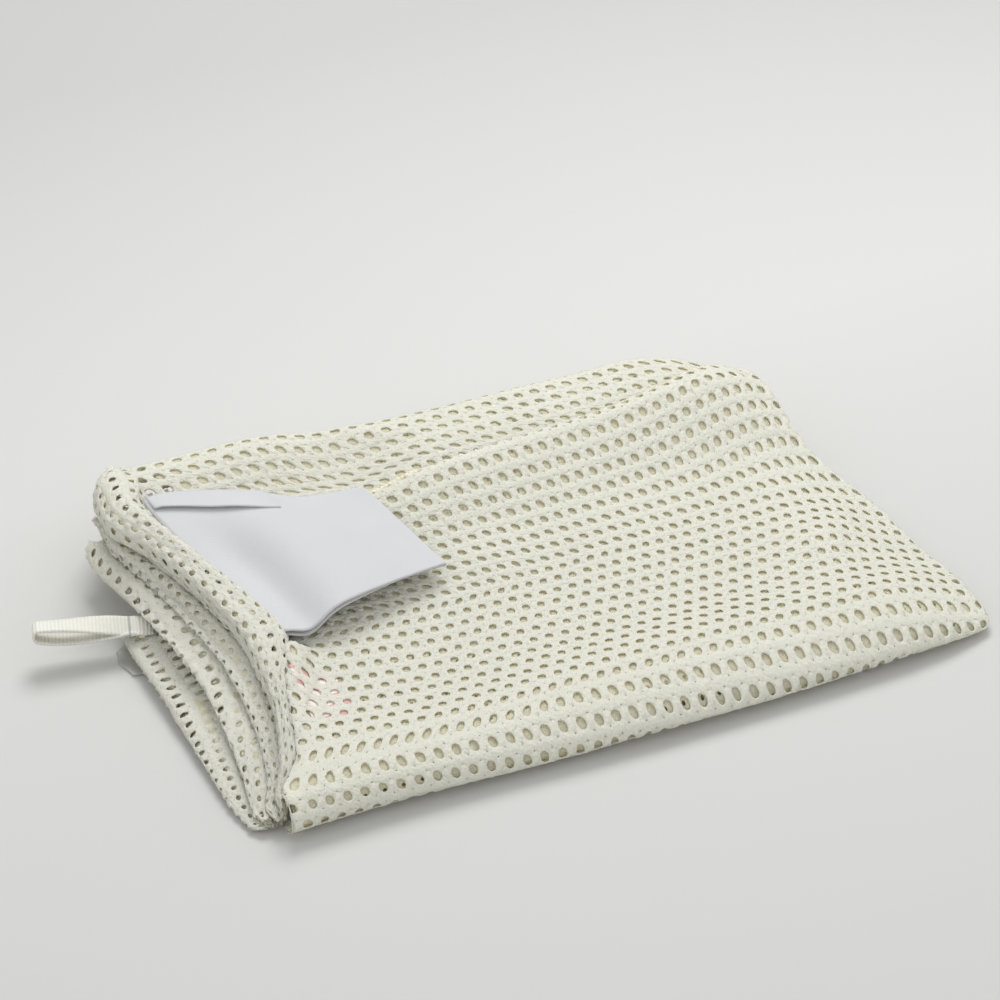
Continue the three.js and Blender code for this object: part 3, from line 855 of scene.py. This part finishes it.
def mouthSection(y, rear, inset):
    # points of the zigzag at one y, from the zip side of the top roll down to the lowest fold
    points = []
    for k, one in enumerate(mouthRolls):
        at = min(y * (one["rear"] / rear), one["rear"])
        right = crease(at) - 0.3 - inset - (rootShift(at) if k == 0 else 0)
        left = one["left"](at) + inset
        low = one["low"](at) + inset * 0.8
        high = one["high"](at) - inset * 0.8
        if high - low < 0.5:
            low, high = (low + high) / 2 - 0.25, (low + high) / 2 + 0.25
        begin = 0.0 if k == 0 else 78.0
        for angle in np.radians(np.linspace(begin, 282.0, 15)):
            c, s = math.cos(angle), math.sin(angle)
            squareness = 0.5 if c > 0 else 0.8
            px = (left + right) / 2 + math.copysign(abs(c) ** squareness, c) * (right - left) / 2
            pz = (low + high) / 2 + math.copysign(abs(s) ** 0.75, s) * (high - low) / 2
            points.append((px, at, pz))
    points = np.array(points)
    for _ in range(2):
        points[1:-1] = (points[:-2] + 2 * points[1:-1] + points[2:]) / 4
    return points


def mouthGrid(inset):
    rows = []
    for y in np.concatenate([[-1.3, -0.7, 0.1, 1.0, 2.0], np.linspace(3, 137, 94)]):
        line = mouthSection(max(float(y), 3.0), 137.0, inset)
        if y < 3:
            shrink = math.sqrt(max(0.0, 1 - ((3 - y) / 4.5) ** 2))
            line[:, 0] = mix(-1.5, line[:, 0], shrink)
            line[:, 2] = mix(4.2, line[:, 2], shrink)
            line[:, 1] = y + 0.4 * np.sin(line[:, 2])
        rows.append(line)
    points = np.stack(rows, 0)
    if inset:
        return points
    # small pleats run along the rolls
    along = points[..., 1]
    lane = np.linspace(0, 1, points.shape[1])[None]
    pleat = 0.4 * np.sin(lane * 170 + along / 23) * np.sin(along / 17 + lane * 30)
    pleat += 0.5 * np.sin(lane * 75 - along / 14 + 1.0) * smooth((along - 20) / 40)
    return points + facing(points) * pleat[..., None]


# the cloth is bunched in the two upper rolls, so the mesh is closed up there
bunched = {"upper": [(-4, 3.6), (60, 3.4), (137, 3.3)], "lower": [(-4, 4.4), (60, 5.2), (137, 5.4)]}
foldedMouth = mouthGrid(0.0)
perRoll = foldedMouth.shape[1] // 4
upperFold = foldedMouth[:, : 2 * perRoll + 2][:, ::-1]
lowerFold = foldedMouth[:, 2 * perRoll - 2 :][:, ::-1]
alongPitch = through([(0, 4.4), (60, 4.7), (137, 4.7)])
mouthUpper = knitted(
    "folded_mouth_upper",
    upperFold,
    cell=tightCell,
    crumple=1.5,
    seed=17,
    shear=0.12,
    uneven=1.4,
    flat=latticed(upperFold, alongPitch, through(bunched["upper"]), None, swap=True),
)
mouthLower = knitted(
    "folded_mouth_lower",
    lowerFold,
    cell=tightCell,
    crumple=1.0,
    seed=18,
    shear=0.05,
    uneven=1.2,
    flat=latticed(lowerFold, alongPitch, through(bunched["lower"]), None, swap=True),
)
mouthInner = knitted(
    "folded_mouth_lining", mouthGrid(0.5)[:, ::-1], cell=coreCell, seed=19, swap=True, look=innerLook
)
mouthCore = knitted(
    "folded_mouth_core", mouthGrid(0.95)[:, ::-1], cell=coreCell, seed=23, swap=True, look=innerLook
)
print("mouth folded:", len(mouthUpper.data.polygons), len(mouthLower.data.polygons))


# cover flap
flap = {"ply": 0.5, "gap": 1.8, "crown": 2.6, "valley": 4.2, "hemLift": 1.15, "hemPly": 0.4}
lowerRear = through(
    [
        (0, 0), (0.1, -0.02), (0.24, -0.005), (0.36, 0.015),
        (0.5, 0.05), (0.64, 0.11), (0.81, 0.07), (1, 0),
    ]
)
hemFront = through([(0, 0.085), (0.24, 0.165), (0.42, 0.205), (0.55, 0.225)])


def flapPoint(along, across):
    sewn = sewnRear + (sewnFront - sewnRear) * along[..., None]
    fold = foldRear + (foldFront - foldRear) * along[..., None]
    point = sewn + (fold - sewn) * across[..., None]
    rise = flap["crown"] * np.sin(np.pi * across) * (0.5 + 0.5 * np.sin(np.pi * np.clip(along, 0, 1)))
    dip = flap["valley"] * np.exp(-(((across - 0.16) / 0.11) ** 2)) * smooth((along - 0.12) * 2.2)
    point[..., 2] += rise - dip
    # the sewn side bows towards the mouth's roll
    bow = (0.8 + rootShift(point[..., 1])) * np.clip(1 - across / 0.35, 0, 1) ** 1.5
    point[..., 0] -= bow
    return point


def flapGrid():
    along = np.linspace(0, 1, 60)[:, None]
    lower = np.linspace(0.01, 0.985, 48)[None]
    lowPoints = flapPoint(mix(lowerRear(lower), 0.992, along), np.broadcast_to(lower, (60, 48)))
    slack = mix(0.75, flap["gap"], smooth(along * 3 - 0.3)) * (1 - 0.5 * lower)
    sag = slack + 0.6 * np.sin(np.pi * lower * 2) * smooth((along - 0.6) / 0.4)
    # nearly no slack over the slider and its tab
    sag = mix(0.62, sag, 1 - (1 - smooth((lower - 0.25) / 0.2)) * smooth((0.97 - along) / 0.12))
    lowPoints[..., 2] -= sag
    turn = []
    for angle in np.linspace(-80, 80, 7):
        a = math.radians(angle)
        p = flapPoint(along, np.full((60, 1), 0.985 + 0.018 * math.cos(a)))
        p[..., 2] += -0.405 + 0.405 * math.sin(a)
        turn.append(p)
    upper = np.linspace(0.985, 0.005, 48)[None]
    upPoints = flapPoint(mix(lowerRear(upper) + 0.006, 1.0, along), np.broadcast_to(upper, (60, 48)))
    return np.concatenate([lowPoints] + turn + [upPoints], 1)


def thickened(obj, thickness, offset=0.0):
    modifier = obj.modifiers.new("thick", "SOLIDIFY")
    modifier.thickness = thickness
    modifier.offset = offset
    return asPlainMesh(obj)


flapPoints = flapGrid()
coverFlap = gridMesh("cover_flap_cloth", flapPoints[::-1], laidOut(flapPoints))
coverFlap.data.materials.append(flapLook)
thickened(coverFlap, flap["ply"] / 1000)


def hemGrid():
    # the turned rear edge of the upper ply: joined at the back, its raw edge standing a little proud
    across = np.linspace(0.02, 0.49, 44)[None]
    down = np.linspace(0, 1, 12)[:, None]
    along = mix(lowerRear(across) - 0.004, hemFront(across), down)
    points = flapPoint(along, np.broadcast_to(across, (12, 44)))
    lift = flap["hemLift"] * smooth(across / 0.05) * (1 - smooth((across - 0.25) / 0.22))
    points[..., 2] += 0.36 + lift * down**1.5
    return points


hemPoints = hemGrid()
flapHem = gridMesh("cover_flap_turned_edge", hemPoints[::-1], laidOut(hemPoints))
flapHem.data.materials.append(flapLook)
thickened(flapHem, flap["hemPly"] / 1000)
print("flap made")

# hanging loop
loop = {
    "pivot": (-12.5, 85.3, 9.4),
    "turn": -14.6,
    "rise": 2.5,
    "reach": 27.4,
    "half": 3.0,
    "width": 5.8,
    "thick": 0.7,
    "rootTwist": 36.0,
    "tipTwist": -8.0,
}


def loopCurve(n):
    # the tape's path in its own upright plane, from its root out along the upper strand and back
    reach, half = loop["reach"] - 0.4, loop["half"] - 0.4
    nose = -reach + half * 0.55
    tipTop, tipLow = (nose, half * 0.75 + 1), (nose, -half * 0.75 + 1)
    knots = [
        [(0.0, 0.45), (-reach * 0.35, half * 0.95), (-reach * 0.72, half * 1.15), tipTop],
        [tipTop, (-reach, half * 0.35 + 1), (-reach, -half * 0.35 + 1), tipLow],
        [tipLow, (-reach * 0.72, -half * 1.15), (-reach * 0.35, -half * 0.95), (0.0, -0.45)],
    ]
    out = []
    for a, b, c, d in knots:
        for t in np.linspace(0, 1, n):
            w = [(1 - t) ** 3, 3 * t * (1 - t) ** 2, 3 * t * t * (1 - t), t**3]
            out.append(sum(np.array(p) * q for p, q in zip((a, b, c, d), w)))
    out = np.array(out)
    step = np.concatenate([[0], np.cumsum(np.linalg.norm(np.diff(out, axis=0), axis=1))])
    even = np.linspace(0, step[-1], 90)
    return np.stack([np.interp(even, step, out[:, i]) for i in (0, 1)], -1)


def loopPlaced(local):
    turn = Matrix.Rotation(math.radians(loop["turn"]), 3, "Z")
    rise = Matrix.Rotation(math.radians(loop["rise"]), 3, "Y")
    return local @ np.array(turn @ rise).T + np.array(loop["pivot"])


path = loopCurve(24)
side = np.linspace(-0.5, 0.5, 9) * loop["width"]
strip = np.zeros((9, len(path), 3))
strand = through(
    [
        (0, loop["rootTwist"]), (0.3, loop["tipTwist"] + 6),
        (0.5, loop["tipTwist"]), (1, loop["tipTwist"]),
    ]
)
twist = np.radians(strand(np.linspace(0, 1, len(path))))[None]
strip[..., 0] = path[None, :, 0]
strip[..., 1] = side[:, None] * np.cos(twist)
strip[..., 2] = path[None, :, 1] + side[:, None] * np.sin(twist)
hangLoop = gridMesh("hang_loop_tape", loopPlaced(strip.reshape(-1, 3)).reshape(strip.shape), laidOut(strip))
hangLoop.data.materials.append(tapeLook)
thickened(hangLoop, loop["thick"] / 1000)

rootLine = np.array(
    [
        (0.05, 0.45), (2, 0.55), (4, 0.5), (6.2, 0.2), (6.6, 0.0),
        (6.2, -0.2), (4, -0.5), (2, -0.55), (0.05, -0.45),
    ]
)
rootStrip = np.zeros((9, len(rootLine), 3))
rootTwist = np.radians(np.linspace(loop["rootTwist"], loop["tipTwist"], len(rootLine)))[None]
rootStrip[..., 0] = rootLine[None, :, 0]
rootStrip[..., 1] = side[:, None] * np.cos(rootTwist)
rootStrip[..., 2] = rootLine[None, :, 1] + side[:, None] * np.sin(rootTwist)
rootPlaced = loopPlaced(rootStrip.reshape(-1, 3)).reshape(rootStrip.shape)
loopRoot = gridMesh("hang_loop_sewn_end", rootPlaced, laidOut(rootStrip))
loopRoot.data.materials.append(tapeLook)
thickened(loopRoot, loop["thick"] / 1000)
print("loop made")

# the two overlocked seams: a padded band with thread loops wound round it
seam = {"spacing": 0.00135, "thread": 0.17, "slant": 0.75, "upper": 1.0, "lower": 1.3, "flatten": 0.6}
seamStops = np.linspace(14, 192, 120)


def bandGrid(centre, radius):
    tangent = unit(np.gradient(centre, axis=0))
    sideways = unit(np.cross(tangent, np.array([0, 0, 1.0])))
    up = np.cross(sideways, tangent)
    rows = []
    for angle in np.linspace(0, 2 * math.pi, 17):
        rows.append(centre + radius * (sideways * math.cos(angle) + up * seam["flatten"] * math.sin(angle)))
    return np.stack(rows, 0)


def threadLoop(radius):
    # one slanted turn of thread round the band, made in its own axes with the seam along z
    turns = np.linspace(0, 2 * math.pi, 10, endpoint=False)
    ring = []
    for angle in turns:
        out = np.array([math.cos(angle), seam["flatten"] * math.sin(angle), 0])
        centre = out * (radius + seam["thread"] * 0.4) + np.array([0, 0, seam["slant"] * math.cos(angle) / 2])
        for side in np.radians((45, 135, 225, 315)):
            around = unit(out) * math.cos(side) + np.array([0, 0, math.sin(side)])
            ring.append((centre + seam["thread"] * around) / 1000)
    faces = []
    for i in range(10):
        for k in range(4):
            j, m = (i + 1) % 10, (k + 1) % 4
            faces.append((4 * i + k, 4 * j + k, 4 * j + m, 4 * i + m))
    mesh = bpy.data.meshes.new("thread loop")
    mesh.from_pydata([tuple(p) for p in ring], [], faces)
    loopObject = bpy.data.objects.new("thread loop", mesh)
    bpy.context.scene.collection.objects.link(loopObject)
    return loopObject


def stitchTree():
    tree = bpy.data.node_groups.new("stitches along a line", "GeometryNodeTree")
    face = tree.interface
    face.new_socket("Geometry", in_out="INPUT", socket_type="NodeSocketGeometry")
    face.new_socket("Stitch", in_out="INPUT", socket_type="NodeSocketObject")
    face.new_socket("Material", in_out="INPUT", socket_type="NodeSocketMaterial")
    face.new_socket("Spacing", in_out="INPUT", socket_type="NodeSocketFloat").default_value = seam["spacing"]
    face.new_socket("Seed", in_out="INPUT", socket_type="NodeSocketInt").default_value = 4
    face.new_socket("Geometry", in_out="OUTPUT", socket_type="NodeSocketGeometry")
    nodes, links = tree.nodes, tree.links
    given = nodes.new("NodeGroupInput").outputs
    curve = nodes.new("GeometryNodeMeshToCurve")
    links.new(given["Geometry"], curve.inputs["Mesh"])
    level = nodes.new("GeometryNodeSetCurveNormal")
    level.mode = "Z_UP"
    links.new(curve.outputs[0], level.inputs["Curve"])
    spots = nodes.new("GeometryNodeCurveToPoints")
    spots.mode = "LENGTH"
    links.new(level.outputs[0], spots.inputs["Curve"])
    links.new(given["Spacing"], spots.inputs["Length"])
    chance = nodes.new("FunctionNodeRandomValue")
    chance.data_type = "FLOAT"
    chance.inputs[2].default_value = 0.94
    chance.inputs[3].default_value = 1.08
    links.new(given["Seed"], chance.inputs["Seed"])
    thread = nodes.new("GeometryNodeObjectInfo")
    thread.transform_space = "ORIGINAL"
    links.new(given["Stitch"], thread.inputs["Object"])
    copies = nodes.new("GeometryNodeInstanceOnPoints")
    links.new(spots.outputs["Points"], copies.inputs["Points"])
    links.new(spots.outputs["Rotation"], copies.inputs["Rotation"])
    links.new(thread.outputs["Geometry"], copies.inputs["Instance"])
    links.new(chance.outputs[1], copies.inputs["Scale"])
    real = nodes.new("GeometryNodeRealizeInstances")
    links.new(copies.outputs[0], real.inputs[0])
    dressed = nodes.new("GeometryNodeSetMaterial")
    links.new(real.outputs[0], dressed.inputs["Geometry"])
    links.new(given["Material"], dressed.inputs["Material"])
    links.new(dressed.outputs[0], nodes.new("NodeGroupOutput").inputs[0])
    return tree


stitchGroup = stitchTree()


def stitched(name, line, radius):
    stitch = threadLoop(radius)
    mesh = bpy.data.meshes.new(name)
    mesh.from_pydata(metres(line).tolist(), [(i, i + 1) for i in range(len(line) - 1)], [])
    obj = bpy.data.objects.new(name, mesh)
    bpy.context.scene.collection.objects.link(obj)
    modifier = obj.modifiers.new("stitches", "NODES")
    modifier.node_group = stitchGroup
    values = {"Stitch": stitch, "Material": threadLook, "Spacing": seam["spacing"], "Seed": 4}
    for item in stitchGroup.interface.items_tree:
        if item.item_type == "SOCKET" and item.in_out == "INPUT" and item.name in values:
            modifier[item.identifier] = values[item.name]
    asPlainMesh(obj)
    bpy.data.objects.remove(stitch)
    for polygon in obj.data.polygons:
        polygon.use_smooth = True
    return obj


upperLine = np.stack([seamStops, ridge(seamStops) - 0.6, lowerTop(seamStops, ridge(seamStops)) + 1.1], -1)
lowerLine = np.stack([seamStops, back(seamStops) - 1.0, lowerTop(seamStops, back(seamStops)) / 2], -1)
upperBand, lowerBand = bandGrid(upperLine, seam["upper"]), bandGrid(lowerLine, seam["lower"])
upperSeam = gridMesh("ridge_overlock", upperBand, laidOut(upperBand))
lowerSeam = gridMesh("back_overlock", lowerBand, laidOut(lowerBand))
for one in (upperSeam, lowerSeam):
    one.data.materials.append(threadLook)
    asPlainMesh(one)
upperStitches = stitched("ridge_overlock_stitches", upperLine, seam["upper"])
lowerStitches = stitched("back_overlock_stitches", lowerLine, seam["lower"])
print("seams made")

# labels
careLabel = {"centre": (-11, 82.5, 0.35), "turn": 12.0, "size": (11.5, 13.0), "thick": 0.00028}
across = np.linspace(-0.5, 0.5, 24)
gx, gy = np.meshgrid(across * careLabel["size"][0], across * careLabel["size"][1])
gx = gx * (1 + 0.14 * np.sin(gy / 2.1 + 0.8)) + 0.9 * np.sin(gy / 3.4)
gy = gy * (1 + 0.1 * np.cos(gx / 2.4)) + 0.7 * np.sin(gx / 1.9)
gz = 0.45 + 0.4 * np.sin(gx / 2.2 + gy / 5) * (0.6 + 0.4 * np.cos(gy / 3))
turned = np.radians(careLabel["turn"])
labelPoints = np.stack(
    [
        careLabel["centre"][0] + gx * np.cos(turned) - gy * np.sin(turned),
        careLabel["centre"][1] + gx * np.sin(turned) + gy * np.cos(turned),
        gz + 0.2,
    ],
    -1,
)
# painted shade: the pale label's colour is darkened to grey for the shade it lies in next to the bag
satinLook = wovenMaterial(
    "label satin",
    {"light": "dcdcd8", "shade": "cfcfca", "ribsPerMetre": 3300, "ribDepth": 0.00003, "ribAngle": 0.0},
    translucent=0.4,
)
careCloth = gridMesh("care_label_satin", labelPoints, laidOut(labelPoints))
careCloth.data.materials.append(satinLook)
thickened(careCloth, careLabel["thick"])


def printedMaterial(name):
    s = Shader(name)
    place = s.node("ShaderNodeUVMap", {"uv_map": "flat"}).outputs[0]
    split = s.node("ShaderNodeSeparateXYZ", Vector=place)
    bars = s.math("FRACT", s.math("MULTIPLY", split.outputs["Y"], 230.0))
    ink = s.math("LESS_THAN", bars, 0.5)
    fibre = s.node("ShaderNodeTexNoise", Vector=place, Scale=3000.0, Detail=2.0).outputs[0]
    bump = s.node("ShaderNodeBump", Height=fibre, Distance=0.00005, Strength=0.6).outputs[0]
    colour = s.ramp(ink, [(0.4, colourOf("ece3dc")), (0.6, colourOf("d2a6a4"))])
    body = s.node("ShaderNodeBsdfPrincipled", Base_Color=colour, Roughness=0.6, Normal=bump)
    s.tree.links.new(body.outputs[0], s.output.inputs["Surface"])
    return s.material


printLook = printedMaterial("printed label")
gx, gy = np.meshgrid(
    printLabel["centre"][0] + across * printLabel["size"][0],
    printLabel["centre"][1] + across * printLabel["size"][1],
)
gz = stackTop(gx, gy) + ripples(gx, gy) * smooth((gy - 4) / 14) * endFall(gx, gy) - printLabel["depth"]
innerLabel = gridMesh("inner_label_satin", np.stack([gx, gy, gz], -1), laidOut(np.stack([gx, gy, gz], -1)))
innerLabel.data.materials.append(printLook)
thickened(innerLabel, printLabel["thick"])

# zip parts that stay as the solid parts' own shapes
nodes = frame["nodes"]
for name in ("zip_coil_left", "zip_coil_right"):
    nodes[name].data.materials.clear()
    nodes[name].data.materials.append(plasticLook)
for name in ("zip_slider", "zip_pull_tab", "zip_top_stop_left", "zip_top_stop_right", "zip_bottom_stop"):
    nodes[name].data.materials.clear()
    nodes[name].data.materials.append(metalLook)
for name in ("zip_tape_left", "zip_tape_right", "hang_loop_bartack"):
    nodes[name].data.materials.clear()
    nodes[name].data.materials.append(threadLook)
nodes["cover_flap_seam_allowance"].data.materials.clear()
nodes["cover_flap_seam_allowance"].data.materials.append(plasticLook)

for cell in (fineCell, plainCell, tightCell, denseCell, coreCell):
    bpy.data.objects.remove(cell)

# bodies and replaced solids
leafPieces = [outerTop, outerUnder, thirdLeaf, middleLeaf, innerOuter, innerInner]
mouthPieces = [mouthUpper, mouthLower, mouthInner, mouthCore]
for piece in leafPieces + mouthPieces:
    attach(piece, "folded_bag")
for piece in (upperSeam, lowerSeam, upperStitches, lowerStitches):
    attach(piece, "folded_bag")
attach(loopRoot, "folded_bag")
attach(careCloth, "folded_bag")
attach(innerLabel, "folded_bag")
for piece in (coverFlap, flapHem):
    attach(piece, "cover_flap")
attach(hangLoop, "hang_loop")

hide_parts("top_leaf_outer_panel", "front_fold_outer_panel", "right_fold_upper")
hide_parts("bottom_leaf_outer_panel", "right_fold_lower")
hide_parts("third_leaf_outer_panel")
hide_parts("second_leaf_outer_panel")
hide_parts("top_leaf_inner_panel", "front_fold_inner_panel", "bottom_leaf_inner_panel")
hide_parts("second_leaf_inner_panel", "third_leaf_inner_panel")
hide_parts("mouth_roll_top", "mouth_band")
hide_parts("mouth_roll_middle", "mouth_roll_bottom")
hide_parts("side_seam_upper")
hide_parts("side_seam_lower")
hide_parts("cover_flap_upper_ply", "cover_flap_lower_ply", "cover_flap_folded_edge")
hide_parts("hang_loop")
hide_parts("hang_loop_root")
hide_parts("care_label")
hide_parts("inner_label")

# camera, light and surface
stand = {
    "eye": (-167.665, -481.855, 474.238),
    "azimuth": 25.5,
    "down": 36.0,
    "lens": 95.04,
}
a, e = math.radians(stand["azimuth"]), math.radians(stand["down"])
right = Vector((math.cos(a), -math.sin(a), 0))
ahead = Vector((math.sin(a) * math.cos(e), math.cos(a) * math.cos(e), -math.sin(e)))
up = right.cross(ahead)
cameraData = bpy.data.cameras.new("camera")
cameraData.lens = stand["lens"]
cameraData.sensor_width = 36
cameraData.clip_start, cameraData.clip_end = 0.02, 20
camera = bpy.data.objects.new("camera", cameraData)
cameraTurn = Matrix((right, up, -ahead)).transposed().to_4x4()
camera.matrix_world = Matrix.Translation(Vector(metres(stand["eye"]))) @ cameraTurn
bpy.context.scene.collection.objects.link(camera)
bpy.context.scene.camera = camera

lighting = {
    "sky": 0.85,
    "key": 4.8,
    "keySize": 0.5,
    "keyPlace": (0.2, 0.4, 0.78),
    "keyAim": (0.04, 0.06, 0),
    "floor": "c9c9c7",
    # painted light pool: scale of the floor colour along the sweep, peaking under the bag
    "paintedLightPool": [(-0.3, 0.97), (-0.05, 0.98), (0.1, 1.02), (0.2, 0.94), (0.36, 0.81), (0.8, 0.78)],
}
world = bpy.data.worlds.new("soft daylight")
world.use_nodes = True
world.node_tree.nodes["Background"].inputs[0].default_value = (1, 1, 1, 1)
world.node_tree.nodes["Background"].inputs[1].default_value = lighting["sky"]
bpy.context.scene.world = world


def areaLight(name, place, aim, size, power):
    data = bpy.data.lights.new(name, "AREA")
    data.shape = "DISK"
    data.size = size
    data.energy = power
    lamp = bpy.data.objects.new(name, data)
    lamp.location = place
    lamp.rotation_euler = (Vector(aim) - Vector(place)).to_track_quat("-Z", "Y").to_euler()
    bpy.context.scene.collection.objects.link(lamp)
    return lamp


areaLight("key", lighting["keyPlace"], lighting["keyAim"], lighting["keySize"], lighting["key"])
bpy.context.scene.view_settings.view_transform = "Standard"


def sweepMaterial():
    s = Shader("paper sweep")
    place = s.node("ShaderNodeTexCoord").outputs["Object"]
    cloud = s.node("ShaderNodeTexNoise", Vector=place, Scale=2.2, Detail=3.0).outputs[0]
    grain = s.node("ShaderNodeTexNoise", Vector=place, Scale=900.0, Detail=2.0).outputs[0]
    base = colourOf(lighting["floor"])
    # painted light pool: the floor colour is lightest under the bag and a little darker towards both ends
    split = s.node("ShaderNodeSeparateXYZ", Vector=place)
    drift = s.math("MULTIPLY_ADD", cloud, 0.05, split.outputs["Y"])
    where = s.math("MULTIPLY_ADD", drift, 0.8, 0.3)
    shades = [(at * 0.8 + 0.32, tuple(c * k for c in base[:3]) + (1.0,)) for at, k in lighting["paintedLightPool"]]
    tone = s.ramp(where, shades)
    bump = s.node("ShaderNodeBump", Height=grain, Distance=0.00003, Strength=0.4).outputs[0]
    body = s.node("ShaderNodeBsdfPrincipled", Base_Color=tone, Roughness=0.8, Normal=bump)
    s.tree.links.new(body.outputs[0], s.output.inputs["Surface"])
    return s.material


def sweepMesh():
    rows = [(-1.5, 0.0), (1.1, 0.0)]
    for k in range(1, 13):
        angle = math.radians(90 * k / 12)
        rows.append((1.1 + 0.8 * math.sin(angle), 0.8 - 0.8 * math.cos(angle)))
    rows.append((1.9, 2.6))
    points = [(x, y, z) for y, z in rows for x in (-2.5, 2.5)]
    faces = [(2 * i, 2 * i + 1, 2 * i + 3, 2 * i + 2) for i in range(len(rows) - 1)]
    mesh = bpy.data.meshes.new("paper sweep")
    mesh.from_pydata(points, [], faces)
    for p in mesh.polygons:
        p.use_smooth = True
    mesh.materials.append(sweepMaterial())
    obj = bpy.data.objects.new("paper sweep", mesh)
    bpy.context.scene.collection.objects.link(obj)
    return obj


sweepMesh()
